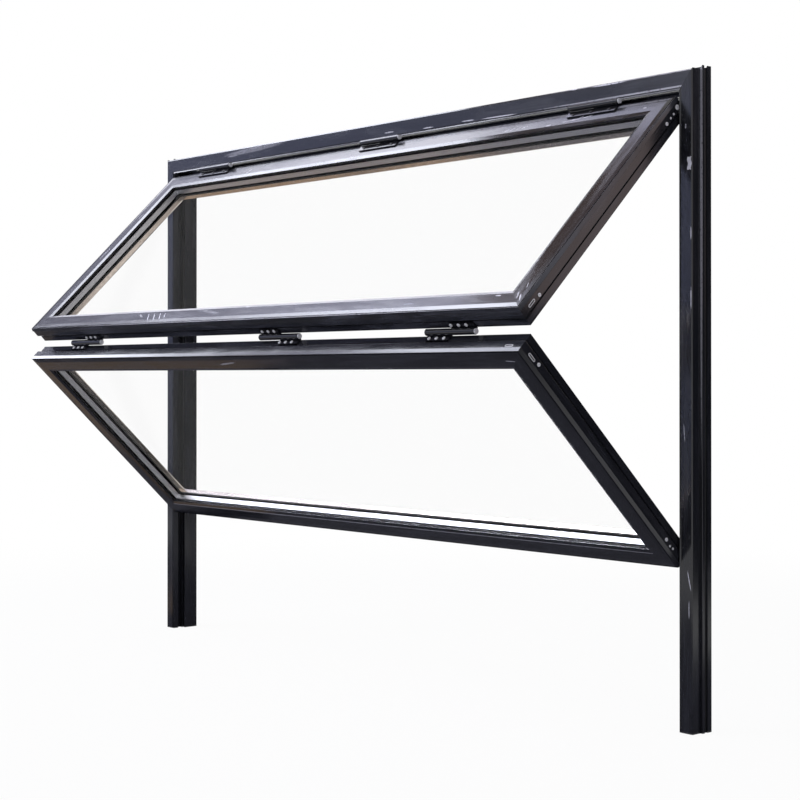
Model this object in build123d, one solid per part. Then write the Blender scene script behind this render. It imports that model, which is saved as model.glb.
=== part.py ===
from build123d import *
import math
import os

# Fold-up awning window: a head and two jambs carry an upper sash hinged to the head and a lower
# sash hinged to the upper one, whose bottom corners run in tracks in the jambs.
# Millimetres. X runs along the head, -Y is the outside, +Z is up, and the origin lies on the
# middle of the head's upper fixing face. The jambs stand a little higher than the head.

# Frame
frame_width = 1726.0
frame_height = 1200.0
jamb_face = 30.5
head_face = 35.3
jamb_rise = 3.0
outer_profile_depth = 28.0
thermal_break_depth = 8.0
inner_profile_depth = 30.0
frame_wall = 2.0
perimeter_step = 5.0
perimeter_step_depth = 22.0
flange_depth = 25.5
inner_setback = 16.0
front_bevel_width = 2.5
front_bevel_depth = 1.2
front_lip_width = 5.0
front_lip_recess = 1.6
track_front_wall = 13.5
track_width = 13.0
track_depth = 11.0
stop_height = 6.0
stop_front_gap = 2.0
stop_hook = 5.0
break_strip = 2.0
break_strip_inset = 3.0
break_strip_spacing = 25.0
frame_edge_radius = 0.8

# Sashes
sash_height = 563.5
sash_thickness = 46.0
sash_face = 46.0
sash_wall = 2.0
sash_side_gap = 1.5
sash_head_gap = 3.2
sash_meeting_gap = 4.0
sash_proud = 1.0
face_band = 14.0
face_fall = 1.2
rim_depth = 9.0
rim_slope = 2.0
rim_crest = 1.0
rim_recess = 0.8
side_step = 1.5
rebate_depth = 26.0
rebate_step = 6.0
hardware_groove_width = 5.0
hardware_groove_depth = 4.0
shadow_groove_width = 2.0
shadow_groove_depth = 2.5
rim_edge_radius = 0.6
rebate_edge_radius = 1.5

# Glazing
glazing_lip = 5.0
glazing_bevel_width = 8.0
glazing_bevel_depth = 2.5
glazing_pocket = 14.0
gasket_thickness = 3.0
gasket_width = 8.0
gasket_proud = 1.0
gasket_clearance = 0.1
pane_thickness = 5.0
pane_spacing = 12.0
pane_edge_gap = 3.0
spacer_height = 7.0
spacer_sightline = 1.0
bead_wall = 1.5
bead_bevel = 3.0
bead_joint = 0.4

# Hinges and guides
hinge_length = 126.0
hinge_radius = 6.2
hinge_leaf = 3.0
frame_leaf = 2.4
face_leaf_height = 21.0
face_leaf_clearance = 0.4
hinge_leaf_corner = 4.0
hinge_joint = 0.4
head_hinge_outset = 7.5
head_hinge_drop = 0.2
head_hinge_end_distance = 198.0
middle_hinge_outset = 1.2
middle_hinge_left_distance = 211.0
middle_hinge_right_distance = 198.0
middle_hinge_centre_offset = 128.0
middle_hinge_swapped = ("centre",)
pin_radius = 3.0
pin_clearance = 0.15
pin_head_radius = 5.0
pin_head_length = 2.5
guide_length = 45.0
guide_drop = 5.0
guide_height = 12.0
guide_width = 16.0
guide_edge_radius = 5.0
guide_pin_radius = 4.0
roller_clearance = 0.3
roller_length = 7.5
roller_end_gap = 3.0

# Pose: how far the upper sash is swung out from the closed window
opening_angle = 45.6

# Depths, from the front face of the frame, and what follows from them
frame_depth = outer_profile_depth + thermal_break_depth + inner_profile_depth
inner_profile_front = outer_profile_depth + thermal_break_depth
flange_back = perimeter_step_depth + flange_depth
front_y = -(inner_profile_front + flange_back) / 2
jamb_opening = perimeter_step + jamb_face
head_opening = perimeter_step + head_face
track_back = track_front_wall + track_width
track_floor = jamb_opening - track_depth
track_centre = track_front_wall + track_width / 2

sash_width = frame_width - 2 * (jamb_opening + sash_side_gap)
sash_y = front_y - sash_proud
groove_start = rim_slope + rim_crest
groove_end = groove_start + shadow_groove_width
bevel_line = sash_face - glazing_bevel_width
pocket_line = sash_face - glazing_pocket
pane_edge = pocket_line + pane_edge_gap
outer_pane_front = glazing_lip + gasket_thickness
spacer_front = outer_pane_front + pane_thickness
inner_pane_front = spacer_front + pane_spacing
inner_gasket_front = inner_pane_front + pane_thickness
bead_front = inner_gasket_front + gasket_thickness

# Middles of the hinges along X
outer_hinge = sash_width / 2 - head_hinge_end_distance
head_hinge_places = {"left": -outer_hinge, "centre": 0.0, "right": outer_hinge}
middle_hinge_places = {
    "left": middle_hinge_left_distance - sash_width / 2,
    "centre": middle_hinge_centre_offset,
    "right": sash_width / 2 - middle_hinge_right_distance,
}

# Heights of the closed window, and the three axes of the fold in the Y-Z plane
upper_top = -(head_opening + sash_head_gap)
upper_bottom = upper_top - sash_height
lower_top = upper_bottom - sash_meeting_gap
lower_bottom = lower_top - sash_height
head_axis_y = sash_y - head_hinge_outset
head_axis_z = upper_top - head_hinge_drop
middle_axis_y = sash_y + sash_thickness + middle_hinge_outset
middle_axis_z = upper_bottom - sash_meeting_gap / 2
guide_axis_y = front_y + track_centre
guide_axis_z = lower_bottom - guide_drop

# The upper sash turns about the head axis and carries the middle axis with it; the lower sash
# then leans back until its guide axis meets the track again.
swing = math.radians(opening_angle)
arm_y = middle_axis_y - head_axis_y
arm_z = middle_axis_z - head_axis_z
open_middle_y = head_axis_y + arm_y * math.cos(swing) + arm_z * math.sin(swing)
open_middle_z = head_axis_z - arm_y * math.sin(swing) + arm_z * math.cos(swing)
stay_y = guide_axis_y - middle_axis_y
stay_z = guide_axis_z - middle_axis_z
stay_length = math.hypot(stay_y, stay_z)
stay_lean = math.atan2(stay_y, -stay_z)
lower_angle = math.degrees(math.asin((guide_axis_y - open_middle_y) / stay_length) - stay_lean)


def outline(points, rounded=()):
    """A flat section from its corner points, with the listed corners rounded by their radii."""
    section = Polygon(*points, align=None)
    for x, y, radius in rounded:
        section = fillet(section.vertices().sort_by_distance((x, y, 0))[0], radius)
    return section


def box_section(low, high):
    """A plain rectangular section between two corners."""
    return outline([low, (high[0], low[1]), high, (low[0], high[1])])


def bar(section, middle, inward, length, cuts):
    """A section run along a straight length, centred on middle, and trimmed by the cuts.

    The section's first axis is the depth along +Y and its second runs along inward, from the
    outer edge of the frame or sash towards its opening. Each cut is a point of its plane and the
    direction that is cut away.
    """
    depth = Vector(0, 1, 0)
    base = Plane(origin=middle, x_dir=depth, z_dir=depth.cross(Vector(*inward)))
    solid = extrude(base * section, amount=length / 2, both=True)
    for point, away in cuts:
        solid = split(solid, bisect_by=Plane(origin=point, z_dir=away), keep=Keep.BOTTOM)
    return solid


def mitred_bar(section, middle, inward, length):
    """A bar with a 45 degree mitre at both ends."""
    along = Vector(0, 1, 0).cross(Vector(*inward))
    cuts = []
    for end in (along, -along):
        cuts.append((Vector(*middle) + end * (length / 2), end + Vector(*inward)))
    return bar(section, middle, inward, length, cuts)


def block(low, high):
    """A box between two opposite corners."""
    size = [b - a for a, b in zip(low, high)]
    centre = [(a + b) / 2 for a, b in zip(low, high)]
    return Pos(*centre) * Box(*size)


def rod(radius, x_from, x_to, y, z):
    """A round bar along X."""
    middle = Pos((x_from + x_to) / 2, y, z)
    return middle * Rot(0, 90, 0) * Cylinder(radius, abs(x_to - x_from))


def frame_outer_section(opening):
    """Outside profile: bevelled front face with a raised lip, and the perimeter step."""
    lip = opening - front_lip_width
    shell = outline(
        [
            (front_bevel_depth, perimeter_step),
            (0, perimeter_step + front_bevel_width),
            (0, lip),
            (front_lip_recess, lip),
            (0, opening),
            (outer_profile_depth, opening),
            (outer_profile_depth, 0),
            (perimeter_step_depth, 0),
            (perimeter_step_depth, perimeter_step),
        ],
        rounded=[
            (front_bevel_depth, perimeter_step, frame_edge_radius),
            (0, opening, frame_edge_radius),
            (perimeter_step_depth, 0, frame_edge_radius),
        ],
    )
    chamber = box_section(
        (front_lip_recess + frame_wall, perimeter_step + frame_wall),
        (outer_profile_depth - frame_wall, opening - frame_wall),
    )
    return shell - chamber


def jamb_outer_section():
    """The outside profile with the walls of the guide track in its opening side."""
    track = box_section((track_front_wall, track_floor), (track_back, jamb_opening))
    walls = box_section(
        (track_front_wall - frame_wall, track_floor - frame_wall),
        (outer_profile_depth, jamb_opening),
    )
    return frame_outer_section(jamb_opening) + walls - track


def frame_inner_section(opening):
    """Inside profile: set back behind the flange, with a hooked stop for the sash in front."""
    stop_front = outer_profile_depth + stop_front_gap
    stop_line = opening + stop_height
    hook = stop_line - stop_hook
    shell = outline(
        [
            (inner_profile_front, 0),
            (flange_back, 0),
            (flange_back, inner_setback),
            (frame_depth, inner_setback),
            (frame_depth, stop_line),
            (stop_front, stop_line),
            (stop_front, hook),
            (stop_front + frame_wall, hook),
            (stop_front + frame_wall, stop_line - frame_wall),
            (inner_profile_front, stop_line - frame_wall),
        ],
        rounded=[
            (flange_back, 0, frame_edge_radius),
            (frame_depth, inner_setback, frame_edge_radius),
            (frame_depth, stop_line, frame_edge_radius),
            (stop_front, stop_line, frame_edge_radius),
        ],
    )
    chamber = outline(
        [
            (inner_profile_front + frame_wall, frame_wall),
            (flange_back - frame_wall, frame_wall),
            (flange_back - frame_wall, inner_setback + frame_wall),
            (frame_depth - frame_wall, inner_setback + frame_wall),
            (frame_depth - frame_wall, stop_line - frame_wall),
            (inner_profile_front + frame_wall, stop_line - frame_wall),
        ]
    )
    return shell - chamber


def break_sections():
    """The two insulating strips that join the outside and inside profiles."""
    for start in (break_strip_inset, break_strip_inset + break_strip_spacing):
        yield box_section((outer_profile_depth, start), (inner_profile_front, start + break_strip))


def face_depth(inset):
    """How far the sash's face lies back in its outer band, at a distance from the outer edge."""
    return face_fall * (1 - inset / face_band)


def sash_section():
    """Sash profile: rim, shadow groove, face with sloping outer band, rebated edge, pocket."""
    groove_floor = face_depth(groove_start) + shadow_groove_depth
    hardware_back = rebate_depth + hardware_groove_width
    hardware_floor = rebate_step + hardware_groove_depth
    shell = outline(
        [
            (rim_depth, 0),
            (rim_recess, rim_slope),
            (rim_recess, groove_start),
            (groove_floor, groove_start),
            (groove_floor, groove_end),
            (face_depth(groove_end), groove_end),
            (0, face_band),
            (0, bevel_line),
            (glazing_bevel_depth, sash_face),
            (glazing_lip, sash_face),
            (glazing_lip, pocket_line),
            (sash_thickness, pocket_line),
            (sash_thickness, rebate_step),
            (hardware_back, rebate_step),
            (hardware_back, hardware_floor),
            (rebate_depth, hardware_floor),
            (rebate_depth, side_step),
            (rim_depth, side_step),
        ],
        rounded=[
            (rim_depth, 0, rim_edge_radius),
            (rim_recess, rim_slope, rim_edge_radius),
            (rebate_depth, side_step, rebate_edge_radius),
            (sash_thickness, rebate_step, rebate_edge_radius),
        ],
    )
    pocket_wall = pocket_line - sash_wall
    outer_chamber = box_section(
        (groove_floor + sash_wall, side_step + sash_wall),
        (rebate_depth - sash_wall, pocket_wall),
    )
    inner_chamber = outline(
        [
            (rebate_depth + sash_wall, hardware_floor + sash_wall),
            (hardware_back + sash_wall, hardware_floor + sash_wall),
            (hardware_back + sash_wall, rebate_step + sash_wall),
            (sash_thickness - sash_wall, rebate_step + sash_wall),
            (sash_thickness - sash_wall, pocket_wall),
            (rebate_depth + sash_wall, pocket_wall),
        ]
    )
    return shell - outer_chamber - inner_chamber


def bead_section():
    """Hollow glazing bead with a bevelled nose."""
    shell = outline(
        [
            (bead_front, pocket_line),
            (sash_thickness, pocket_line),
            (sash_thickness, sash_face - bead_bevel),
            (sash_thickness - bead_bevel, sash_face),
            (bead_front, sash_face),
        ]
    )
    chamber = box_section(
        (bead_front + bead_wall, pocket_line + bead_wall),
        (sash_thickness - bead_bevel - bead_wall, sash_face - bead_bevel - bead_wall),
    )
    return shell - chamber


def sash_bars(section, top, joint=0.0):
    """The section run round a closed sash: top, bottom, left and right bars."""
    centre_z = top - sash_height / 2
    half_width = sash_width / 2
    half_height = sash_height / 2
    long = sash_width - 2 * joint
    tall = sash_height - 2 * joint
    return {
        "top": mitred_bar(section, (0, sash_y, centre_z + half_height), (0, 0, -1), long),
        "bottom": mitred_bar(section, (0, sash_y, centre_z - half_height), (0, 0, 1), long),
        "left": mitred_bar(section, (-half_width, sash_y, centre_z), (1, 0, 0), tall),
        "right": mitred_bar(section, (half_width, sash_y, centre_z), (-1, 0, 0), tall),
    }


def ring(section, top):
    """The section run round a closed sash as one mitred ring."""
    bars = sash_bars(section, top)
    return bars["top"] + bars["left"] + bars["right"] + bars["bottom"]


def pane(top, front):
    """One sheet of glass of a closed sash."""
    half = sash_width / 2 - pane_edge
    return block(
        (-half, sash_y + front, top - sash_height + pane_edge),
        (half, sash_y + front + pane_thickness, top - pane_edge),
    )


def build_frame():
    """Head and jambs: each an outside profile, insulating strips and an inside profile.

    The head's face is wider than the jambs', so each joint runs from the outer to the inner corner.
    """
    half = frame_width / 2
    jamb_middle = jamb_rise - frame_height / 2
    corners = [(-half, front_y, jamb_rise), (half, front_y, jamb_rise)]
    slopes = [Vector(side * (jamb_rise + head_opening), 0, -jamb_opening) for side in (-1, 1)]
    head_cuts = list(zip(corners, slopes))
    left_cut = (corners[0], -slopes[0])
    right_cut = (corners[1], -slopes[1])
    members = {
        "head": ((0, front_y, 0), (0, 0, -1), frame_width, head_cuts),
        "left_jamb": ((-half, front_y, jamb_middle), (1, 0, 0), frame_height, [left_cut]),
        "right_jamb": ((half, front_y, jamb_middle), (-1, 0, 0), frame_height, [right_cut]),
    }
    sections = {
        "head": (frame_outer_section(head_opening), frame_inner_section(head_opening)),
        "left_jamb": (jamb_outer_section(), frame_inner_section(jamb_opening)),
        "right_jamb": (jamb_outer_section(), frame_inner_section(jamb_opening)),
    }
    nodes = {}
    for name, place in members.items():
        outer, inner = sections[name]
        nodes[name + "_outer_profile"] = bar(outer, *place)
        strips = [bar(section, *place) for section in break_sections()]
        nodes[name + "_thermal_break"] = Compound(children=strips)
        nodes[name + "_inner_profile"] = bar(inner, *place)
    return nodes


def build_sash(name, top):
    """One closed sash: mitred profiles, double glazing, gaskets and beads."""
    nodes = {}
    bars = sash_bars(sash_section(), top)
    for side, piece in (("top", "rail"), ("bottom", "rail"), ("left", "stile"), ("right", "stile")):
        nodes[f"{name}_sash_{side}_{piece}"] = bars[side]
    beads = sash_bars(bead_section(), top, bead_joint)
    nodes[f"{name}_sash_glazing_beads"] = Compound(children=list(beads.values()))
    nodes[f"{name}_sash_outer_pane"] = pane(top, outer_pane_front)
    nodes[f"{name}_sash_inner_pane"] = pane(top, inner_pane_front)
    spacer_edge = sash_face - spacer_sightline
    spacer = box_section((spacer_front, spacer_edge - spacer_height), (inner_pane_front, spacer_edge))
    nodes[f"{name}_sash_spacer"] = ring(spacer, top)
    gasket_edge = sash_face + gasket_proud
    seats = {"outer": (glazing_lip, outer_pane_front), "inner": (inner_gasket_front, bead_front)}
    for side, (front, back) in seats.items():
        low = (front + gasket_clearance, gasket_edge - gasket_width)
        high = (back - gasket_clearance, gasket_edge)
        nodes[f"{name}_sash_{side}_gasket"] = ring(box_section(low, high), top)
    return nodes


def half_barrels(place):
    """X ranges of the two barrel halves of a hinge, left and right of its middle."""
    half = hinge_length / 2
    return (place - half, place - hinge_joint / 2), (place + hinge_joint / 2, place + half)


def knuckle(span, axis_y, axis_z, plate):
    """Half of a hinge's barrel with its plate, bored for the pin."""
    barrel = rod(hinge_radius, span[0], span[1], axis_y, axis_z)
    bore = rod(pin_radius + pin_clearance, span[0], span[1], axis_y, axis_z)
    return barrel + plate - bore


def leaf(span, axis_y, axis_z, plate_y, plate_z, thickness):
    """One hinge leaf: its half of the barrel and a level, round-cornered plate."""
    plate = block(
        (span[0], min(axis_y, plate_y), plate_z),
        (span[1], max(axis_y, plate_y), plate_z + thickness),
    )
    far_end = -1 if plate_y > axis_y else 0
    corners = plate.edges().filter_by(Axis.Z).group_by(Axis.Y)[far_end]
    return knuckle(span, axis_y, axis_z, fillet(corners, hinge_leaf_corner))


def face_leaf(place, span):
    """The sash leaf of a head hinge: a plate on the sash's face, as long as the whole hinge."""
    plate_front = sash_y - hinge_leaf
    plate_top = head_axis_z - hinge_radius - face_leaf_clearance
    half = hinge_length / 2
    plate = block(
        (place - half, plate_front, upper_top - face_leaf_height),
        (place + half, sash_y, plate_top),
    )
    corners = plate.edges().filter_by(Axis.Y).group_by(Axis.Z)[0]
    neck = block((span[0], plate_front, plate_top), (span[1], sash_y, head_axis_z))
    return knuckle(span, head_axis_y, head_axis_z, fillet(corners, hinge_leaf_corner) + neck)


def pins(places, axis_y, axis_z):
    """The hinge pins of one row, each with a head at its right-hand end."""
    solids = []
    for place in places.values():
        left = place - hinge_length / 2
        right = place + hinge_length / 2
        shank = rod(pin_radius, left, right, axis_y, axis_z)
        solids.append(shank + rod(pin_head_radius, right, right + pin_head_length, axis_y, axis_z))
    return Compound(children=solids)


def build_head_hinges():
    """Closed head hinges, with their barrels outside: frame leaves, sash leaves and pins."""
    frame_leaves = {}
    sash_leaves = {}
    plate_end = front_y + outer_profile_depth - frame_wall
    for side, place in head_hinge_places.items():
        left, right = half_barrels(place)
        frame_leaves[f"head_hinge_{side}_frame_leaf"] = leaf(
            left, head_axis_y, head_axis_z, plate_end, -head_opening - frame_leaf, frame_leaf
        )
        sash_leaves[f"head_hinge_{side}_sash_leaf"] = face_leaf(place, right)
    return frame_leaves, sash_leaves, pins(head_hinge_places, head_axis_y, head_axis_z)


def build_middle_hinges():
    """Closed middle hinges, with their barrels inside: upper leaves, lower leaves and pins."""
    upper_leaves = {}
    lower_leaves = {}
    plate_end = sash_y + rebate_depth + hardware_groove_width
    upper_plate = upper_bottom + rebate_step - hinge_leaf
    lower_plate = lower_top - rebate_step
    for side, place in middle_hinge_places.items():
        left, right = half_barrels(place)
        upper_span, lower_span = (left, right) if side in middle_hinge_swapped else (right, left)
        upper_leaves[f"middle_hinge_{side}_upper_leaf"] = leaf(
            upper_span, middle_axis_y, middle_axis_z, plate_end, upper_plate, hinge_leaf
        )
        lower_leaves[f"middle_hinge_{side}_lower_leaf"] = leaf(
            lower_span, middle_axis_y, middle_axis_z, plate_end, lower_plate, hinge_leaf
        )
    return upper_leaves, lower_leaves, pins(middle_hinge_places, middle_axis_y, middle_axis_z)


def build_guides():
    """Closed guides: a bracket with a pin under each end of the lower sash, and its roller."""
    nodes = {}
    sash_end = sash_width / 2
    pin_end = frame_width / 2 - track_floor - roller_end_gap
    axis = (guide_axis_y, guide_axis_z)
    for side, sign in (("left", -1), ("right", 1)):
        low_x, high_x = sorted((sign * (sash_end - guide_length), sign * sash_end))
        body = block(
            (low_x, guide_axis_y - guide_width / 2, lower_bottom - guide_height),
            (high_x, guide_axis_y + guide_width / 2, lower_bottom + side_step),
        )
        low_edges = body.edges().filter_by(Axis.X).group_by(Axis.Z)[0]
        pin = rod(guide_pin_radius, sign * sash_end, sign * pin_end, *axis)
        nodes[f"{side}_guide_bracket"] = fillet(low_edges, guide_edge_radius) + pin
        ends = (sign * (pin_end - roller_length), sign * pin_end)
        roller = rod(track_width / 2 - roller_clearance, *ends, *axis)
        nodes[f"{side}_guide_roller"] = roller - rod(guide_pin_radius + pin_clearance, *ends, *axis)
    return nodes


def swing_upper(solid):
    """Turn a closed piece with the upper sash to the open pose."""
    return solid.rotate(Axis((0, head_axis_y, head_axis_z), (1, 0, 0)), -opening_angle)


def swing_lower(solid):
    """Turn a closed piece with the lower sash and carry it to the open middle axis."""
    turned = solid.rotate(Axis((0, middle_axis_y, middle_axis_z), (1, 0, 0)), lower_angle)
    return Pos(0, open_middle_y - middle_axis_y, open_middle_z - middle_axis_z) * turned


frame_leaves, head_sash_leaves, head_pins = build_head_hinges()
upper_leaves, lower_leaves, middle_pins = build_middle_hinges()

fixed = {**build_frame(), **frame_leaves, "head_hinge_pins": head_pins}
on_upper_sash = {
    **build_sash("upper", upper_top),
    **head_sash_leaves,
    **upper_leaves,
    "middle_hinge_pins": middle_pins,
}
on_lower_sash = {**build_sash("lower", lower_top), **lower_leaves, **build_guides()}

nodes = dict(fixed)
nodes.update({name: swing_upper(solid) for name, solid in on_upper_sash.items()})
nodes.update({name: swing_lower(solid) for name, solid in on_lower_sash.items()})

os.makedirs("parts", exist_ok=True)
for name, solid in nodes.items():
    export_step(solid, f"parts/{name}.step")

print("lower sash angle", round(lower_angle, 2))
print("nodes", len(nodes))
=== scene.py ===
import bpy
import math
from mathutils import Matrix, Vector


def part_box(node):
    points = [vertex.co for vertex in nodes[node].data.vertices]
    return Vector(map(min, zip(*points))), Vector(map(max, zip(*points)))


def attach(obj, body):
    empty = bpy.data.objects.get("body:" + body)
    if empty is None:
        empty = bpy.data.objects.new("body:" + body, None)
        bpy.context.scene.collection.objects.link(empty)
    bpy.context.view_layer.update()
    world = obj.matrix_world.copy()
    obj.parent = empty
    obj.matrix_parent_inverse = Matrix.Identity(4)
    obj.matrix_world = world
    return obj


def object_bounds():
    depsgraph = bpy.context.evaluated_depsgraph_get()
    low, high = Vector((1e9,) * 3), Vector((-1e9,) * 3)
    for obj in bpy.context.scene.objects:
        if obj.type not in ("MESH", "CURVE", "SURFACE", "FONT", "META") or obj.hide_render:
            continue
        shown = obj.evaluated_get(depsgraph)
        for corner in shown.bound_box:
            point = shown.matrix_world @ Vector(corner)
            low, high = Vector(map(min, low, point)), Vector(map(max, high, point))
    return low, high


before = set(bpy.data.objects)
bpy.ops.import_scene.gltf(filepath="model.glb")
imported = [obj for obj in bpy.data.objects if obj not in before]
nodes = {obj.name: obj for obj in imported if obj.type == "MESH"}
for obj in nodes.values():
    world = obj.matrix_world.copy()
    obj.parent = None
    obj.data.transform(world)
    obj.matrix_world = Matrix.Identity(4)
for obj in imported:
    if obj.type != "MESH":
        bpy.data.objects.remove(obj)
cadLow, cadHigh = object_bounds()
mm = 0.001
print("frame loaded:", len(nodes), "nodes")


# Sash places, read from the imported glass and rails
def sashPlace(name):
    glass = nodes[name + "_sash_outer_pane"].data
    faces = [p for p in glass.polygons if p.normal.y < -0.3]
    out = max(faces, key=lambda p: p.area).normal.copy()  # square to the glass, outwards
    up = out.cross(Vector((1, 0, 0)))  # along the stiles, upwards
    rails = [nodes[f"{name}_sash_{side}_rail"].data for side in ("top", "bottom")]
    points = [vertex.co for rail in rails for vertex in rail.vertices]
    return {
        "out": out,
        "up": up,
        "face": max(p.dot(out) for p in points),
        "top": max(p.dot(up) for p in points),
        "height": max(p.dot(up) for p in points) - min(p.dot(up) for p in points),
        "tilt": math.atan2(-up.y, up.z),
    }


def onSash(place, x, down, depth):
    # a point of a sash: along X, down from its top edge and in from its outer face
    return Vector((x, 0, 0)) + place["up"] * (place["top"] - down) + place["out"] * (place["face"] - depth)


sashes = {name: sashPlace(name) for name in ("upper", "lower")}
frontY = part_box("head_outer_profile")[0].y  # the frame's front face
groundZ = cadLow.z
print("sashes at", [round(math.degrees(s["tilt"]), 1) for s in sashes.values()], "degrees")


# Colours and shader nodes
def linear(hexColour):
    channels = [int(hexColour[i:i + 2], 16) / 255 for i in (1, 3, 5)]
    return tuple(c / 12.92 if c <= 0.04045 else ((c + 0.055) / 1.055) ** 2.4 for c in channels) + (1.0,)


def addNode(tree, kind, settings=None, inputs=None, links=None):
    node = tree.nodes.new(kind)
    for key, value in (settings or {}).items():
        setattr(node, key, value)
    for key, value in (inputs or {}).items():
        node.inputs[key].default_value = value
    for key, socket in (links or {}).items():
        tree.links.new(socket, node.inputs[key])
    return node


def newMaterial(name):
    material = bpy.data.materials.new(name)
    material.use_nodes = True
    tree = material.node_tree
    return material, tree, tree.nodes["Principled BSDF"]


def setSockets(shader, values):
    for key, value in values.items():
        shader.inputs[key].default_value = value


# Satin powder coat on extruded aluminium: a dark, slightly blue grey skin with orange peel,
# drawn faintly along the extrusion, with dull handling smears, a few pale scuffs and dry smudges, and pale
# painted highlight lines along some edges
powderCoat = {
    "colour": "#141519",
    "paleColour": "#202127",
    "dustColour": "#8d90a2",
    "markAndHighlightColour": "#e2e2ee",
    "roughness": (0.15, 0.25),
    "markRoughness": 0.55,
    "specular": 0.5,
    "ior": 1.5,
    "peelSize": 3.0 * mm,  # orange peel is about 1 mm, drawn coarser so that it shows
    "peelHeight": 0.02 * mm,
    "bump": 0.35,
    "lineSize": 4.0 * mm,  # die lines, drawn coarser so that they show
    "lineStretch": 90.0,
    "lineGloss": 0.25,  # how much the die lines vary the gloss
    "lineBump": 0.4,  # and the relief
    "smearSize": 28.0 * mm,
    "smearStretch": 7.0,
    "smearBand": (0.42, 0.68),  # where in the noise a smear starts and is full
    "scuffSize": 9.0 * mm,
    "scuffStretch": 14.0,
    "scuffBand": (0.74, 0.8),
    "scuffPale": 0.5,
    "breakSize": 2.5 * mm,  # how the smudges and painted highlights break up
    "breakStretch": 2.0,
    "breakBand": (0.3, 0.42),
    "markDepth": 3.0 * mm,
    "markEdge": 0.6,  # each smudge and painted highlight is full up to this share of its half size
}

# How dusty and how scuffed each surface is
wear = {
    "head": (0.06, 0.03),
    "jambs": (0.03, 0.02),
    "upperRails": (0.12, 0.04),
    "upperStiles": (0.072, 0.04),
    "lowerRails": (0.04, 0.015),
    "lowerStiles": (0.024, 0.015),
}

# Smudges and scratches that stand out, and pale painted highlight lines along some edges: from (x, z) to (x,
# z) on the frame's front, or from (x, down) to (x, down) on a sash's face, in millimetres, with their width
# and strength, and how far behind the front they lie where they aren't on it
smudgesAndPaintedHighlights = {
    "head": [
        (555, -5, 579, -6, 3.6, 0.85), (611, -7.5, 704, -7.5, 3.2, 0.9), (306, -33, 417, -34, 2.8, 0.8),
        (250, -31, 290, -32, 3.0, 0.7), (4, -28, 36, -28, 3.6, 0.6), (130, -32, 165, -32, 3.0, 0.7),
        (-610, -18, -350, -9, 15.0, 0.2), (-520, -12, -440, -10, 6.0, 0.28),
        # the next line's last mark and the line after it: painted highlight lines along the head's front, near
        # its lower and top edges
        (-590, -22, -540, -20, 5.0, 0.22), (430, -33.5, 1150, -33.5, 4.0, 0.5),
        (420, -6, 1250, -6, 3.0, 0.45),
    ],
    "jambs": [
        (843, -104, 843, -110, 4.0, 0.7), (855, -287, 855, -312, 2.5, 0.65), (855, -393, 855, -438, 2.5, 0.6),
        (846, -903, 855, -942, 2.4, 0.75), (850, -957, 850, -992, 2.2, 0.6), (838, -640, 841, -676, 2.4, 0.35),
        # painted highlight lines along the step of both jambs, 22 mm behind the front
        (860.5, 350, 860.5, -750, 6.0, 0.4, 22.0), (-860.5, 350, -860.5, -750, 6.0, 0.4, 22.0),
    ],
    "upperRails": [
        (404, 32, 418, 26, 3.0, 0.9), (418, 32, 432, 25, 3.0, 0.95), (434, 31, 446, 26, 2.6, 0.9),
        (450, 30, 466, 25, 2.8, 0.9), (521, 34.5, 534, 34, 4.0, 0.9), (555, 31, 582, 30, 2.2, 0.9),
        (578, 29, 604, 27, 3.0, 0.95), (600, 29, 612, 21, 2.0, 0.9), (608, 27, 637, 23, 2.4, 0.9),
        (763, 26, 769, 26, 4.0, 0.7), (-474, 35, -457, 22, 3.0, 0.85), (-76, 35, -68, 35, 4.0, 0.7),
        (-338, 529, -320, 553, 3.0, 0.95), (-315, 529, -297, 553, 3.0, 0.95), (-292, 529, -276, 551, 3.0, 0.9),
        (-272, 531, -259, 549, 2.6, 0.85), (-372, 532, -352, 542, 6.0, 0.3), (-150, 526, -60, 540, 9.0, 0.12),
        # the next line's last mark and the line after it: painted highlight lines along the upper sash's lower
        # edge and across its top band
        (18, 524, 32, 524, 4.0, 0.6), (748, 530, 762, 530, 3.0, 0.85), (-700, 561, 800, 561, 2.6, 0.4),
        (-250, 9, 1000, 9, 13.0, 0.3),
    ],
    "upperStiles": [
        (799, 522, 806, 540, 3.0, 0.85), (808, 528, 816, 545, 3.4, 0.9), (-807, 318, -803, 270, 3.0, 0.6),
        (-800, 170, -797, 145, 3.0, 0.6), (806, 500, 811, 514, 2.4, 0.6),
    ],
    "lowerRails": [
        # the next line's last mark: a painted highlight line across the lower sash's full width
        (-64, 27, -1, 21, 5.0, 0.3), (776, 24, 803, 26, 2.5, 0.35), (-1200, 525, 1200, 525, 2.4, 0.3),
    ],
    "lowerStiles": [],
}


def smudgeAndHighlightPlaces(name):
    # each smudge and painted highlight as the middle, turn and half sizes of a flat lens that lies in the
    # surface
    place = sashes.get(name[:5])
    for x1, y1, x2, y2, width, strength, *depth in smudgesAndPaintedHighlights[name]:
        back = depth[0] * mm if depth else 0.0
        if place:
            start = onSash(place, x1 * mm, y1 * mm, back)
            end = onSash(place, x2 * mm, y2 * mm, back)
            out = place["out"]
        else:
            start = Vector((x1 * mm, frontY + back, y1 * mm))
            end = Vector((x2 * mm, frontY + back, y2 * mm))
            out = Vector((0, -1, 0))
        along = (end - start).normalized()
        turn = Matrix((along, -out, along.cross(-out))).transposed().to_euler()
        half = (end - start).length / 2 + width * mm / 2
        yield (start + end) / 2, turn, (half, powderCoat["markDepth"], width * mm / 2), strength


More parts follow.
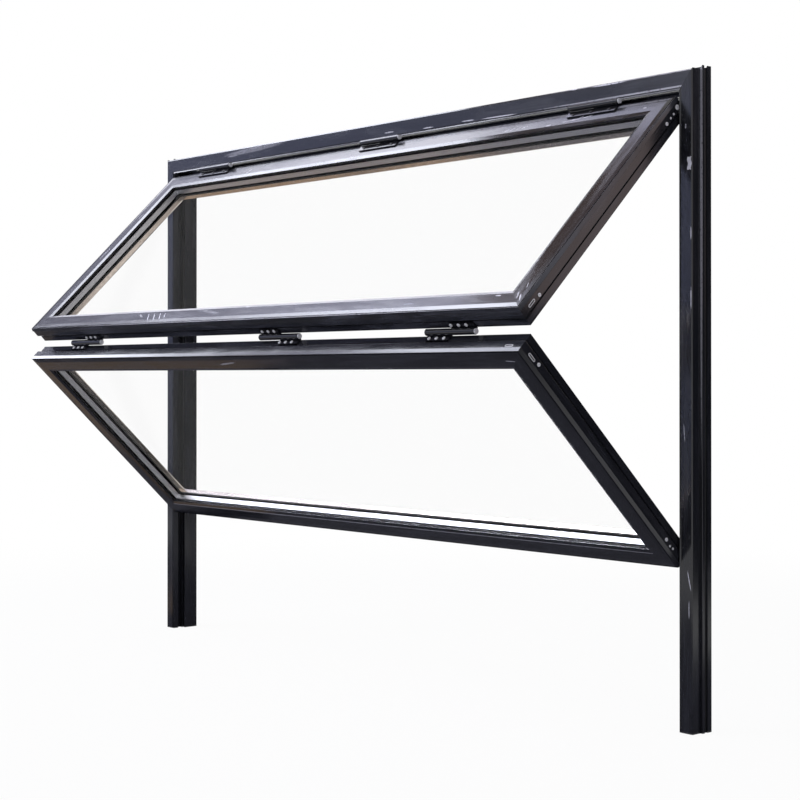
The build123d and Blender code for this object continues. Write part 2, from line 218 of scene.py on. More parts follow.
def powderCoatFinish(name, along, tilt=0.0):
    material, tree, shader = newMaterial("powderCoat_" + name)
    coat = powderCoat
    dust, scuff = wear[name]
    setSockets(shader, {"Specular IOR Level": coat["specular"], "IOR": coat["ior"]})
    place = addNode(tree, "ShaderNodeTexCoord").outputs["Object"]

    def stretched(size, stretch):
        # the pattern's size, drawn out along the extrusion
        scale = [size * stretch if axis == along else size for axis in "xyz"]
        turned = addNode(tree, "ShaderNodeMapping", {"vector_type": "TEXTURE"},
                         {"Rotation": (tilt, 0, 0), "Scale": scale}, {"Vector": place})
        return turned.outputs["Vector"]

    peel = addNode(tree, "ShaderNodeTexNoise", None, {"Scale": 1.0, "Detail": 1.0},
                   {"Vector": stretched(coat["peelSize"], 1.0)})
    lines = addNode(tree, "ShaderNodeTexNoise", None, {"Scale": 1.0, "Detail": 2.0},
                    {"Vector": stretched(coat["lineSize"], coat["lineStretch"])})
    smear = addNode(tree, "ShaderNodeTexNoise", None,
                    {"Scale": 1.0, "Detail": 4.0, "Roughness": 0.6, "Distortion": 0.6},
                    {"Vector": stretched(coat["smearSize"], coat["smearStretch"])})
    flecks = addNode(tree, "ShaderNodeTexNoise", None, {"Scale": 1.0, "Detail": 3.0, "Roughness": 0.7},
                     {"Vector": stretched(coat["scuffSize"], coat["scuffStretch"])})

    dull = addNode(tree, "ShaderNodeMapRange", {"interpolation_type": "SMOOTHSTEP"},
                   {"From Min": coat["smearBand"][0], "From Max": coat["smearBand"][1]},
                   {"Value": smear.outputs["Fac"]})
    scuffs = addNode(tree, "ShaderNodeMapRange", {"interpolation_type": "SMOOTHSTEP"},
                     {"From Min": coat["scuffBand"][0] - scuff, "From Max": coat["scuffBand"][1] - scuff},
                     {"Value": flecks.outputs["Fac"]})
    skin = addNode(tree, "ShaderNodeMix", {"data_type": "RGBA"},
                   {6: linear(coat["colour"]), 7: linear(coat["paleColour"])}, {0: lines.outputs["Fac"]})
    film = addNode(tree, "ShaderNodeMath", {"operation": "MULTIPLY"}, {1: dust}, {0: dull.outputs["Result"]})
    rubbed = addNode(tree, "ShaderNodeMath", {"operation": "MULTIPLY"}, {1: coat["scuffPale"]},
                     {0: scuffs.outputs["Result"]})
    pale = addNode(tree, "ShaderNodeMath", {"operation": "MAXIMUM"}, None,
                   {0: film.outputs["Value"], 1: rubbed.outputs["Value"]})
    colour = addNode(tree, "ShaderNodeMix", {"data_type": "RGBA"}, {7: linear(coat["dustColour"])},
                     {0: pale.outputs["Value"], 6: skin.outputs[2]}).outputs[2]
    gloss = addNode(tree, "ShaderNodeMath", {"operation": "MULTIPLY_ADD"}, {1: coat["lineGloss"]},
                    {0: lines.outputs["Fac"], 2: dull.outputs["Result"]})
    rough = addNode(tree, "ShaderNodeMapRange", None,
                    {"From Min": 0.0, "From Max": 1.0 + coat["lineGloss"],
                     "To Min": coat["roughness"][0], "To Max": coat["roughness"][1]},
                    {"Value": gloss.outputs["Value"]}).outputs["Result"]

    # the smudges and painted highlights of this surface, broken up by a fine noise
    smudgeAndHighlight = None
    for middle, turn, half, strength in smudgeAndHighlightPlaces(name):
        lens = addNode(tree, "ShaderNodeMapping", {"vector_type": "TEXTURE"},
                       {"Location": middle, "Rotation": turn, "Scale": half}, {"Vector": place})
        reach = addNode(tree, "ShaderNodeVectorMath", {"operation": "LENGTH"}, None,
                        {0: lens.outputs["Vector"]})
        spot = addNode(tree, "ShaderNodeMapRange", {"interpolation_type": "SMOOTHSTEP"},
                       {"From Min": 1.0, "From Max": coat["markEdge"], "To Max": strength},
                       {"Value": reach.outputs["Value"]}).outputs["Result"]
        smudgeAndHighlight = spot if smudgeAndHighlight is None else addNode(
            tree, "ShaderNodeMath", {"operation": "MAXIMUM"}, None, {0: smudgeAndHighlight, 1: spot}).outputs["Value"]
    if smudgeAndHighlight is not None:
        grain = addNode(tree, "ShaderNodeTexNoise", None, {"Scale": 1.0, "Detail": 2.0},
                        {"Vector": stretched(coat["breakSize"], coat["breakStretch"])})
        torn = addNode(tree, "ShaderNodeMapRange", None,
                       {"From Min": coat["breakBand"][0], "From Max": coat["breakBand"][1]},
                       {"Value": grain.outputs["Fac"]})
        left = addNode(tree, "ShaderNodeMath", {"operation": "MULTIPLY"}, None,
                       {0: smudgeAndHighlight, 1: torn.outputs["Result"]}).outputs["Value"]
        # pale colour of the smudges and of the painted highlight lines
        colour = addNode(tree, "ShaderNodeMix", {"data_type": "RGBA"}, {7: linear(coat["markAndHighlightColour"])},
                         {0: left, 6: colour}).outputs[2]
        rough = addNode(tree, "ShaderNodeMix", {"data_type": "FLOAT"}, {3: coat["markRoughness"]},
                        {0: left, 2: rough}).outputs[0]

    height = addNode(tree, "ShaderNodeMath", {"operation": "MULTIPLY_ADD"}, {1: coat["lineBump"]},
                     {0: lines.outputs["Fac"], 2: peel.outputs["Fac"]})
    bump = addNode(tree, "ShaderNodeBump", None, {"Strength": coat["bump"], "Distance": coat["peelHeight"]},
                   {"Height": height.outputs["Value"]})
    tree.links.new(colour, shader.inputs["Base Color"])
    tree.links.new(rough, shader.inputs["Roughness"])
    tree.links.new(bump.outputs["Normal"], shader.inputs["Normal"])
    return material


# Plain finishes, each one colour with a fine grain that also varies the gloss:
# colour, grain colour, roughness from and to, metallic, grain size in millimetres
plainFinishes = {
    # stoved paint on steel: black, with a sharp highlight along the barrels
    "hingeCoat": ("#0f0f13", "#15151a", (0.1, 0.17), 0.0, 2.5),
    # turned pin ends: near-white and hardly metallic, a painted highlight that shows them as pale discs from
    # any side
    "pinSteelPaintedHighlight": ("#ececee", "#d2d2d8", (0.25, 0.36), 0.2, 1.5),
    # screws, caps and rivets: near-white and hardly metallic, a painted highlight standing in for the glint of
    # bright zinc; small pale dots
    "zincScrewPaintedHighlight": ("#f2f2f4", "#dadade", (0.3, 0.45), 0.1, 1.5),
    # champagne anodising on the glazing beads: a warm, soft mirror
    "beadAnodised": ("#dcd3ca", "#cdc3b9", (0.16, 0.26), 1.0, 6.0),
    # extruded rubber: matt black lines beside the glass
    "gasketRubber": ("#08080a", "#121214", (0.5, 0.68), 0.0, 2.0),
    # glass-filled polyamide strips: dull and nearly black
    "polyamide": ("#121214", "#1d1d20", (0.5, 0.65), 0.0, 1.5),
    # painted zinc casting: black with a soft sheen
    "guideCasting": ("#111114", "#1e1e22", (0.35, 0.5), 0.0, 2.0),
    # moulded nylon: black with a soft sheen
    "rollerNylon": ("#101012", "#1c1c1f", (0.4, 0.5), 0.0, 2.0),
    # the sunk floors of screws and slots: painted shade, dull and dark
    "recessPaintedShade": ("#0b0b0d", "#151518", (0.5, 0.6), 0.0, 1.5),
    # torn protective film: a pale, uneven patch
    "filmScrap": ("#e8e8f0", "#c4c4d0", (0.35, 0.6), 0.0, 4.0),
}
plainGrain = {"band": (0.3, 0.7), "bump": 0.2, "height": 0.02 * mm}


def plainFinish(name):
    colour, grainColour, roughness, metallic, grainSize = plainFinishes[name]
    material, tree, shader = newMaterial(name)
    setSockets(shader, {"Metallic": metallic})
    place = addNode(tree, "ShaderNodeTexCoord").outputs["Object"]
    grain = addNode(tree, "ShaderNodeTexNoise", None, {"Scale": 1 / (grainSize * mm), "Detail": 3.0},
                    {"Vector": place}).outputs["Fac"]
    mixed = addNode(tree, "ShaderNodeMix", {"data_type": "RGBA"},
                    {6: linear(colour), 7: linear(grainColour)}, {0: grain})
    rough = addNode(tree, "ShaderNodeMapRange", None,
                    {"From Min": plainGrain["band"][0], "From Max": plainGrain["band"][1],
                     "To Min": roughness[0], "To Max": roughness[1]}, {"Value": grain})
    bump = addNode(tree, "ShaderNodeBump", None,
                   {"Strength": plainGrain["bump"], "Distance": plainGrain["height"]}, {"Height": grain})
    tree.links.new(mixed.outputs[2], shader.inputs["Base Color"])
    tree.links.new(rough.outputs["Result"], shader.inputs["Roughness"])
    tree.links.new(bump.outputs["Normal"], shader.inputs["Normal"])
    return material


# Clear float glass: polished, with hardly any tint. Its body is kept faint, well below that of plain
# glass, because the panes of the photo show next to no reflection
floatGlass = {"colour": "#feffff", "ior": 1.45, "roughness": 0.0, "body": 0.015}


def glassFinish():
    material, _, shader = newMaterial("floatGlass")
    setSockets(shader, {"Base Color": linear(floatGlass["colour"]), "Transmission Weight": 1.0,
                        "IOR": floatGlass["ior"], "Alpha": floatGlass["body"],
                        "Roughness": floatGlass["roughness"]})
    return material


# Spacer bar between the panes: mill-finish aluminium with two rows of small breathing holes, drawn as dark
# dots of painted shade
spacerBar = {
    "colour": "#d9dadd", "holePaintedShadeColour": "#26272b", "metallic": 0.85, "roughness": 0.32,
    "pitch": 5.0 * mm, "rowGap": 5.0 * mm, "hole": 1.1 * mm,  # holes drawn coarser so that they show
}


def spacerFinish(name, place):
    material, tree, shader = newMaterial("spacerBar_" + name)
    setSockets(shader, {"Metallic": spacerBar["metallic"], "Roughness": spacerBar["roughness"]})
    low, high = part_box(name + "_sash_spacer")
    middle = (low + high) / 2
    coord = addNode(tree, "ShaderNodeTexCoord").outputs["Object"]
    local = addNode(tree, "ShaderNodeMapping", {"vector_type": "TEXTURE"},
                    {"Location": middle, "Rotation": (place["tilt"], 0, 0)}, {"Vector": coord})
    axes = addNode(tree, "ShaderNodeSeparateXYZ", None, None, {0: local.outputs["Vector"]})
    # the holes run along X on the rails' bars and along Z on the stiles'
    normal = addNode(tree, "ShaderNodeNewGeometry").outputs["Normal"]
    facing = addNode(tree, "ShaderNodeSeparateXYZ", None, None, {0: normal})
    across = addNode(tree, "ShaderNodeMath", {"operation": "ABSOLUTE"}, None, {0: facing.outputs["X"]})
    onStile = addNode(tree, "ShaderNodeMath", {"operation": "GREATER_THAN"}, {1: 0.5}, {0: across.outputs[0]})
    run = addNode(tree, "ShaderNodeMix", {"data_type": "FLOAT"}, None,
                  {0: onStile.outputs[0], 2: axes.outputs["X"], 3: axes.outputs["Z"]})
    step = addNode(tree, "ShaderNodeMath", {"operation": "PINGPONG"}, {1: spacerBar["pitch"] / 2},
                   {0: run.outputs[0]})
    depth = addNode(tree, "ShaderNodeMath", {"operation": "ABSOLUTE"}, None, {0: axes.outputs["Y"]})
    row = addNode(tree, "ShaderNodeMath", {"operation": "SUBTRACT"}, {1: spacerBar["rowGap"] / 2},
                  {0: depth.outputs[0]})
    spot = addNode(tree, "ShaderNodeCombineXYZ", None, None, {"X": step.outputs[0], "Y": row.outputs[0]})
    reach = addNode(tree, "ShaderNodeVectorMath", {"operation": "LENGTH"}, None, {0: spot.outputs[0]})
    hole = addNode(tree, "ShaderNodeMath", {"operation": "LESS_THAN"}, {1: spacerBar["hole"] / 2},
                   {0: reach.outputs["Value"]})
    # the holes are painted shade: dark dots on the bare metal
    colour = addNode(tree, "ShaderNodeMix", {"data_type": "RGBA"},
                     {6: linear(spacerBar["colour"]), 7: linear(spacerBar["holePaintedShadeColour"])},
                     {0: hole.outputs[0]})
    tree.links.new(colour.outputs[2], shader.inputs["Base Color"])
    return material


def dressNode(name, material):
    mesh = nodes[name].data
    mesh.materials.clear()
    mesh.materials.append(material)


# Every CAD node gets its finish: the first word that its name holds tells which
finishes = {name: plainFinish(name) for name in plainFinishes}
nodeFinishes = {
    "hinge_pins": finishes["pinSteelPaintedHighlight"],
    "hinge": finishes["hingeCoat"],
    "thermal_break": finishes["polyamide"],
    "head_": powderCoatFinish("head", "x"),
    "jamb": powderCoatFinish("jambs", "z"),
    "gasket": finishes["gasketRubber"],
    "pane": glassFinish(),
    "beads": finishes["beadAnodised"],
    "roller": finishes["rollerNylon"],
    "guide": finishes["guideCasting"],
}
for name in nodes:
    words = [word for word in nodeFinishes if word in name]
    if words:
        dressNode(name, nodeFinishes[words[0]])
for sash, place in sashes.items():
    railCoat = powderCoatFinish(sash + "Rails", "x", place["tilt"])
    stileCoat = powderCoatFinish(sash + "Stiles", "z", place["tilt"])
    for side in ("top_rail", "bottom_rail"):
        dressNode(f"{sash}_sash_{side}", railCoat)
    for side in ("left_stile", "right_stile"):
        dressNode(f"{sash}_sash_{side}", stileCoat)
    dressNode(f"{sash}_sash_spacer", spacerFinish(sash, place))
print("finishes set on", len(nodes), "nodes")


# Fixings, modelled once in millimetres with their foot at the origin and their head along +Z
fixings = {
    "panScrew": {
        "radius": 3.4, "height": 2.0, "edge": 0.9, "crossLength": 3.8, "crossWidth": 0.9, "crossDepth": 1.2,
    },
    "pivotCap": {"radius": 4.9, "height": 2.0, "edge": 0.8, "ring": 3.0, "sink": 1.3},
    "rivet": {"radius": 2.4, "height": 1.0, "edge": 0.6, "ring": 1.3, "sink": 0.4},
    "drainSlot": {"radius": 2.7, "height": 0.6, "edge": 0.2, "ring": 0.9, "sink": 0.5, "length": 19.0},
}
fixingMake = {
    "sides": 24,
    "edgeSteps": 3,
    "smoothAngle": 40.0,
    "hair": 0.01,  # slack when faces and edges are picked by their height
    "foot": 0.2,  # how far each is sunk into what carries it
}


def selectBy(piece, kind, test):
    # choose vertices, edges or faces of the piece by their place, ready for an edit operator
    bpy.ops.object.mode_set(mode="OBJECT")
    kinds = ("vertices", "edges", "polygons")
    bpy.context.tool_settings.mesh_select_mode = [kind == each for each in kinds]
    for each in kinds:
        items = getattr(piece.data, each)
        items.foreach_set("select", [False] * len(items))
    for item in getattr(piece.data, kind):
        item.select = test(item)
    bpy.ops.object.mode_set(mode="EDIT")


def makeFixing(name):
    shape = fixings[name]
    hair = fixingMake["hair"]
    bpy.ops.object.select_all(action="DESELECT")
    bpy.ops.mesh.primitive_cylinder_add(vertices=fixingMake["sides"], radius=shape["radius"],
                                        depth=shape["height"], location=(0, 0, shape["height"] / 2))
    bpy.ops.object.transform_apply(location=True, rotation=True, scale=True)
    piece = bpy.context.object
    top = shape["height"] - hair
    if "length" in shape:
        reach = shape["length"] / 2 - shape["radius"]
        for side in (1, -1):
            selectBy(piece, "vertices", lambda v: v.co.y * side > hair / 10)
            bpy.ops.transform.translate(value=(0, side * reach, 0))
    points = piece.data.vertices
    selectBy(piece, "edges", lambda e: all(points[i].co.z > top for i in e.vertices))
    bpy.ops.mesh.bevel(offset=shape["edge"], segments=fixingMake["edgeSteps"], affect="EDGES")
    if "ring" in shape:
        selectBy(piece, "polygons", lambda f: f.normal.z > 0.9 and f.center.z > top)
        bpy.ops.mesh.inset(thickness=shape["ring"])
        bpy.ops.mesh.extrude_region_move(TRANSFORM_OT_translate={"value": (0, 0, -shape["sink"])})
    bpy.ops.object.mode_set(mode="OBJECT")
    if "crossLength" in shape:
        cutCross(piece, shape)
    # the floor of the recess gets the painted shade finish, dull and dark
    piece.data.materials.append(finishes["zincScrewPaintedHighlight"])
    piece.data.materials.append(finishes["recessPaintedShade"])
    recess = shape.get("crossLength", 2 * shape["radius"]) / 2
    for face in piece.data.polygons:
        sunk = face.center.xy.length < recess and hair < face.center.z < top
        face.material_index = 1 if sunk and face.normal.z > 0.9 else 0
    bpy.context.view_layer.objects.active = piece
    bpy.ops.object.shade_smooth_by_angle(angle=math.radians(fixingMake["smoothAngle"]))
    piece.data.transform(Matrix.Scale(mm, 4) @ Matrix.Translation((0, 0, -fixingMake["foot"])))
    return piece


def cutCross(piece, shape):
    # a cross recess, cut with a plus-shaped bar
    bpy.ops.object.select_all(action="DESELECT")
    bpy.ops.mesh.primitive_cube_add(size=shape["crossWidth"], location=(0, 0, 0))
    bar = bpy.context.object
    selectBy(bar, "polygons", lambda f: abs(f.normal.z) < 0.1)
    bpy.ops.mesh.extrude_faces_move(
        TRANSFORM_OT_shrink_fatten={"value": (shape["crossLength"] - shape["crossWidth"]) / 2})
    selectBy(bar, "vertices", lambda v: True)
    bpy.ops.transform.resize(value=(1, 1, 2 * shape["crossDepth"] / shape["crossWidth"]))
    bpy.ops.transform.translate(value=(0, 0, shape["height"]))
    bpy.ops.object.mode_set(mode="OBJECT")
    recess = piece.modifiers.new("crossRecess", "BOOLEAN")
    recess.operation = "DIFFERENCE"
    recess.solver = "EXACT"
    recess.object = bar
    bpy.context.view_layer.objects.active = piece
    bpy.ops.object.modifier_apply(modifier=recess.name)
    bpy.data.objects.remove(bar)


def setFixings(source, name, places, finish=None):
    # copies of one fixing at (point, way the head looks, way its length runs), joined to one piece
    copies = []
    for point, way, along in places:
        across = along.cross(way)
        turn = Matrix((across, along, way)).transposed().to_4x4()
        copy = source.copy()
        copy.data = source.data.copy()
        copy.data.transform(Matrix.Translation(point) @ turn)
        bpy.context.scene.collection.objects.link(copy)
        copies.append(copy)
    bpy.ops.object.select_all(action="DESELECT")
    for copy in copies:
        copy.select_set(True)
    bpy.context.view_layer.objects.active = copies[0]
    bpy.ops.object.join()
    piece = bpy.context.object
    piece.name = name
    piece.data.name = name
    if finish:
        piece.data.materials[0] = finish
    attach(piece, "root")


# Where the fixings sit: screws along each hinge leaf from the hinge's middle, and the sash ends as
# (fixing, down from the sash's top edge, in from its face), in millimetres
hingeScrews = {"right": (4.5, 24.0, 43.5), "left": (-52.5, -33.0, -13.5), "fromEdge": 3.0, "depth": 36.4}
faceLeafScrews = {"along": (-46.0, 0.0, 46.0), "down": 14.0, "proud": 3.0}
endFixings = {
    "sideX": 824.5,
    "upper": [
        ("pivotCap", 14.0, 17.0), ("rivet", 29.9, 20.1), ("rivet", 41.4, 20.1), ("panScrew", 57.6, 20.5),
        ("panScrew", 510.6, 19.7), ("drainSlot", 533.2, 17.6),
    ],
    "lower": [
        ("drainSlot", 31.6, 15.1), ("panScrew", 51.4, 17.5), ("panScrew", 500.8, 16.3),
        ("rivet", 516.8, 14.5), ("rivet", 526.2, 16.1),
    ],
    "topEdgeSlot": (793.8, 1.5, 14.0),
}
xAxis = Vector((1, 0, 0))


def setHingeScrews(source, side):
    # the screws of one middle hinge, on both leaves, and of the head hinge above it
    places = []
    for sash, otherSash in (("upper", "lower"), ("lower", "upper")):
        place = sashes[sash]
        low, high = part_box(f"middle_hinge_{side}_{sash}_leaf")
        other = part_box(f"middle_hinge_{side}_{otherSash}_leaf")[0]
        half = "right" if low.x > other.x else "left"
        middle = low.x if half == "right" else high.x
        down = hingeScrews["fromEdge"] * mm
        way = place["up"]
        if sash == "upper":
            down = place["height"] - down
            way = -way
        for step in hingeScrews[half]:
            point = onSash(place, middle + step * mm, down, hingeScrews["depth"] * mm)
            places.append((point, way, xAxis))
    setFixings(source, f"middleHingeScrews_{side}", places)

    low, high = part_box(f"head_hinge_{side}_sash_leaf")
    middle = (low.x + high.x) / 2
    place = sashes["upper"]
    down = faceLeafScrews["down"] * mm
    proud = faceLeafScrews["proud"] * mm
    places = [(onSash(place, middle + step * mm, down, -proud), place["out"], xAxis)
              for step in faceLeafScrews["along"]]
    setFixings(source, f"headHingeScrews_{side}", places, finishes["hingeCoat"])


def setEndFixings(source, sash, kind):
    # one kind of fixing on both ends of a sash
    place = sashes[sash]
    places = []
    for each, down, depth in endFixings[sash]:
        if each == kind:
            for sign in (-1, 1):
                point = onSash(place, sign * endFixings["sideX"] * mm, down * mm, depth * mm)
                places.append((point, xAxis * sign, place["up"]))
    if sash == "lower" and kind == "drainSlot":
        x, down, depth = endFixings["topEdgeSlot"]
        places.append((onSash(place, x * mm, down * mm, depth * mm), place["up"], xAxis))
    if places:
        setFixings(source, f"{sash}Sash_{kind}s", places)


def buildFixings():
    made = {name: makeFixing(name) for name in fixings}
    for side in ("left", "centre", "right"):
        setHingeScrews(made["panScrew"], side)
    for sash in sashes:
        for kind, source in made.items():
            setEndFixings(source, sash, kind)
    for source in made.values():
        bpy.data.objects.remove(source)


buildFixings()
print("screws, caps, rivets and slots set")

# A torn scrap of protective film, left on the right jamb's front, in millimetres
scrap = {
    "x": (847.5, 856.0),
    "z": (-163.0, -185.0),
    "cells": (4, 8),
    "thickness": 0.3,
    "ragged": 1.1,
    "sideWave": (9, 2),  # how fast the long edges wander, and where they start
    "endWave": 3,
}


def buildScrap():
    bpy.ops.object.select_all(action="DESELECT")
    bpy.ops.mesh.primitive_grid_add(x_subdivisions=scrap["cells"][0], y_subdivisions=scrap["cells"][1], size=1)
    piece = bpy.context.object
    piece.name = "filmScrap"
    width = scrap["x"][1] - scrap["x"][0]
    tall = scrap["z"][0] - scrap["z"][1]
    speed, start = scrap["sideWave"]
    for point in piece.data.vertices:
        # torn edges: the outline wanders a little
        side = scrap["ragged"] * math.sin(speed * point.co.y + start) * abs(2 * point.co.x)
        point.co.x = point.co.x * width + side
        end = scrap["ragged"] * math.sin(scrap["endWave"] * point.co.x) * abs(2 * point.co.y)
        point.co.y = point.co.y * tall + end
    middle = Vector((sum(scrap["x"]) / 2 * mm, frontY, sum(scrap["z"]) / 2 * mm))
    upright = Matrix.Rotation(math.pi / 2, 4, "X")
    piece.data.transform(Matrix.Translation(middle) @ upright @ Matrix.Scale(mm, 4))
    skin = piece.modifiers.new("filmThickness", "SOLIDIFY")
    skin.thickness = scrap["thickness"] * mm
    skin.offset = 1.0
    bpy.ops.object.modifier_apply(modifier=skin.name)
    piece.data.materials.append(finishes["filmScrap"])
    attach(piece, "root")


buildScrap()
print("film scrap set")


# Studio: pale floor, white background, a soft lamp, and pale and dark cards that only the gloss sees
studio = {
    "floorSize": 40.0,
    "floorColour": "#e4e4e6",
    "floorRoughness": 0.9,
    "floorWhite": (0.95, 1.0),  # share of the floor that is plain white, near and far
    "floorFade": (1.3, 3.2),  # metres from the window's middle
    "worldColour": "#eeeef6",
    "worldLight": 0.6,
    "softBox": {
        "toward": (-0.55, -0.6, 0.58), "distance": 4.0, "size": 2.4, "watts": 90.0, "colour": "#f4f4ff",
    },
    "cards": {
        # name: direction from the window's middle, metres away, width and height, colour,
        # light at foot and top
        "skyCard": ((-0.77, 0.03, 0.64), 4.2, (4.8, 3.4), "#d9d9f4", (0.55, 3.3)),
        "backSkyCard": ((-0.74, 0.32, 0.60), 4.0, (1.5, 2.4), "#efeffc", (3.2, 5.2)),
        "frontSkyCard": ((-0.449, -0.507, 0.735), 3.63, (1.0, 1.0), "#e6e9fa", (9.0, 9.0)),
        "arcCard": ((-0.762, -0.197, 0.616), 4.0, (0.6, 3.2), "#eceffc", (14.0, 14.0)),
        "edgeCard": ((-0.633, -0.345, 0.70), 4.1, (0.55, 0.9), "#eceffc", (14.0, 14.0)),
        "horizonCard": ((-1.0, 0.08, 0.10), 4.0, (3.6, 1.9), "#7480a0", (0.12, 0.12)),
        "frontCard": ((-0.73, -0.68, 0.05), 4.0, (4.6, 2.4), "#959bbd", (0.5, 2.3)),
        "sideCard": ((0.68, 0.73, 0.0), 2.6, (4.0, 2.4), "#808090", (0.05, 0.05)),
        "rimCard": ((0.87, 0.27, 0.45), 2.4, (1.0, 0.8), "#f0f0ff", (1.6, 1.6)),
    },
    "nearCards": {
        # name: middle, turn in degrees, width and height, colour, light
        "pavingCard": ((-1.85, -0.3, groundZ + 4 * mm), (0, 0, 0), (2.0, 0.26), "#d9bc9f", 0.65),
        "groundCard": ((-0.7, -0.2, groundZ + 2 * mm), (0, 0, 0), (4.2, 2.2), "#a8a8b8", 0.3),
        "stileCard": ((0.25, -0.21, 0.35), (180, 0, 0), (0.8, 0.38), "#c09a84", 0.5),
        "revealCard": ((1.09, 0.86, -0.03), (90, 0, -60), (0.4, 0.6), "#efe9e6", 1.3),
        "endCard": ((1.077, -0.016, -0.2), (90, 0, -45), (0.255, 0.44), "#c4b2b0", 2.2),
    },
}
white = (1, 1, 1, 1)


def cameraGlossyOrGlass(tree):
    # 1 on rays that look at the background: straight, mirrored or through glass
    path = addNode(tree, "ShaderNodeLightPath")
    mirrored = addNode(tree, "ShaderNodeMath", {"operation": "MAXIMUM"}, None,
                       {0: path.outputs["Is Camera Ray"], 1: path.outputs["Is Glossy Ray"]})
    return addNode(tree, "ShaderNodeMath", {"operation": "MAXIMUM"}, None,
                   {0: mirrored.outputs[0], 1: path.outputs["Is Transmission Ray"]}).outputs[0]


def buildWorld():
    world = bpy.data.worlds.new("studioWorld")
    world.use_nodes = True
    bpy.context.scene.world = world
    tree = world.node_tree
    tree.nodes.clear()
    light = addNode(tree, "ShaderNodeBackground", None,
                    {"Color": linear(studio["worldColour"]), "Strength": studio["worldLight"]})
    plain = addNode(tree, "ShaderNodeBackground", None, {"Color": white, "Strength": 1.0})
    both = addNode(tree, "ShaderNodeMixShader", None, None,
                   {0: cameraGlossyOrGlass(tree), 1: light.outputs[0], 2: plain.outputs[0]})
    addNode(tree, "ShaderNodeOutputWorld", None, None, {"Surface": both.outputs[0]})


def buildFloor():
    bpy.ops.object.select_all(action="DESELECT")
    bpy.ops.mesh.primitive_plane_add(size=studio["floorSize"], location=(0, 0, groundZ))
    floor = bpy.context.object
    floor.name = "studioFloor"
    material, tree, shader = newMaterial("paleFloor")
    setSockets(shader, {"Base Color": linear(studio["floorColour"]), "Roughness": studio["floorRoughness"],
                        "Specular IOR Level": 0.0})
    glow = addNode(tree, "ShaderNodeEmission", None, {"Color": white, "Strength": 1.0})
    spot = addNode(tree, "ShaderNodeTexCoord").outputs["Object"]
    reach = addNode(tree, "ShaderNodeVectorMath", {"operation": "LENGTH"}, None, {0: spot})
    fade = addNode(tree, "ShaderNodeMapRange", {"interpolation_type": "SMOOTHSTEP"},
                   {"From Min": studio["floorFade"][0], "From Max": studio["floorFade"][1],
                    "To Min": studio["floorWhite"][0], "To Max": studio["floorWhite"][1]},
                   {"Value": reach.outputs["Value"]})
    share = addNode(tree, "ShaderNodeMath", {"operation": "MULTIPLY"}, None,
                    {0: cameraGlossyOrGlass(tree), 1: fade.outputs["Result"]})
    mix = addNode(tree, "ShaderNodeMixShader", None, None,
                  {0: share.outputs[0], 1: shader.outputs[0], 2: glow.outputs[0]})
    tree.links.new(mix.outputs[0], tree.nodes["Material Output"].inputs["Surface"])
    floor.data.materials.append(material)


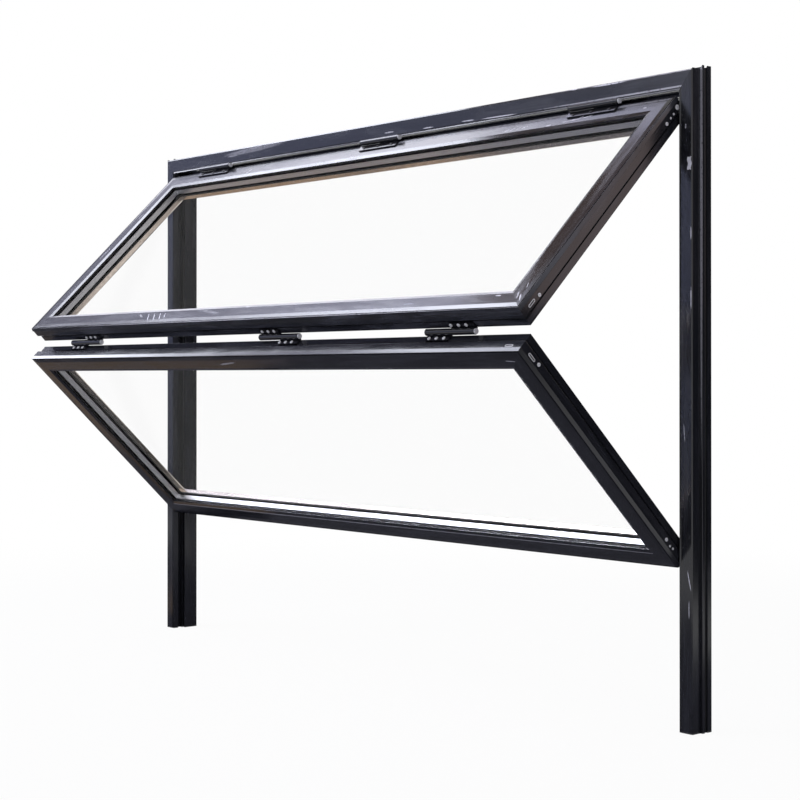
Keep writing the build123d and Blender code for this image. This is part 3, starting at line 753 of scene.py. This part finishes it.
def addCard(name, location, turn, size, colour, light):
    # a card beside the window, lit evenly or brighter towards its top
    bpy.ops.object.select_all(action="DESELECT")
    bpy.ops.mesh.primitive_plane_add(size=1, location=location, rotation=turn)
    card = bpy.context.object
    card.name = name
    card.scale = (size[0], size[1], 1)
    material, tree, _ = newMaterial(name)
    coord = addNode(tree, "ShaderNodeTexCoord").outputs["Object"]
    spot = addNode(tree, "ShaderNodeSeparateXYZ", None, None, {0: coord})
    ramp = addNode(tree, "ShaderNodeMapRange", {"interpolation_type": "SMOOTHSTEP"},
                   {"From Min": -0.5, "From Max": 0.5, "To Min": light[0], "To Max": light[1]},
                   {"Value": spot.outputs["Y"]})
    sharp = addNode(tree, "ShaderNodeLightPath").outputs["Is Singular Ray"]
    seen = addNode(tree, "ShaderNodeMath", {"operation": "SUBTRACT"}, {0: 1.0}, {1: sharp})  # not by glass
    strength = addNode(tree, "ShaderNodeMath", {"operation": "MULTIPLY"}, None,
                       {0: ramp.outputs["Result"], 1: seen.outputs[0]})
    glow = addNode(tree, "ShaderNodeEmission", None, {"Color": linear(colour)},
                   {"Strength": strength.outputs[0]})
    tree.links.new(glow.outputs[0], tree.nodes["Material Output"].inputs["Surface"])
    card.data.materials.append(material)
    card.visible_camera = False
    card.visible_diffuse = False
    card.visible_transmission = False
    card.visible_shadow = False


def buildLights():
    middle = (cadLow + cadHigh) / 2
    for name, (toward, distance, size, colour, light) in studio["cards"].items():
        toward = Vector(toward).normalized()
        turn = (-toward).to_track_quat("Z", "Y").to_euler()
        addCard(name, middle + toward * distance, turn, size, colour, light)
    for name, (place, turn, size, colour, light) in studio["nearCards"].items():
        addCard(name, place, [math.radians(angle) for angle in turn], size, colour, (light, light))

    softBox = studio["softBox"]
    toward = Vector(softBox["toward"]).normalized()
    data = bpy.data.lights.new("softBox", "AREA")
    data.size = softBox["size"]
    data.energy = softBox["watts"]
    data.color = linear(softBox["colour"])[:3]
    lamp = bpy.data.objects.new("softBox", data)
    bpy.context.scene.collection.objects.link(lamp)
    lamp.location = middle + toward * softBox["distance"]
    lamp.rotation_euler = (-toward).to_track_quat("-Z", "Y").to_euler()
    lamp.visible_glossy = False  # the cards are what the gloss shows


# Camera, found by fitting the photo's corners and edges; pixel values are of the 800 pixel frame
photo = {
    "frame": 800.0,
    "focal": 1686.1,
    "horizonShift": 31.4,  # the level line of sight lies this far above the frame's middle
    "place": (2803.3 * mm, -2360.3 * mm, -555.5 * mm),  # from the front face's middle, at the head's top
    "turn": 49.33,
    "lift": 0.25,
    "sensor": 36.0,
    "reach": 100.0,
}


def buildCamera():
    data = bpy.data.cameras.new("photoCamera")
    data.sensor_width = photo["sensor"]
    data.lens = photo["focal"] / photo["frame"] * photo["sensor"]
    data.shift_y = -photo["horizonShift"] / photo["frame"]
    data.clip_end = photo["reach"]
    camera = bpy.data.objects.new("photoCamera", data)
    bpy.context.scene.collection.objects.link(camera)
    camera.location = Vector(photo["place"]) + Vector((0, frontY, 0))
    camera.rotation_euler = (math.radians(90 + photo["lift"]), 0, math.radians(photo["turn"]))
    bpy.context.scene.camera = camera


buildWorld()
buildFloor()
buildLights()
buildCamera()
bpy.context.scene.view_settings.view_transform = "Standard"
print("studio and camera ready")
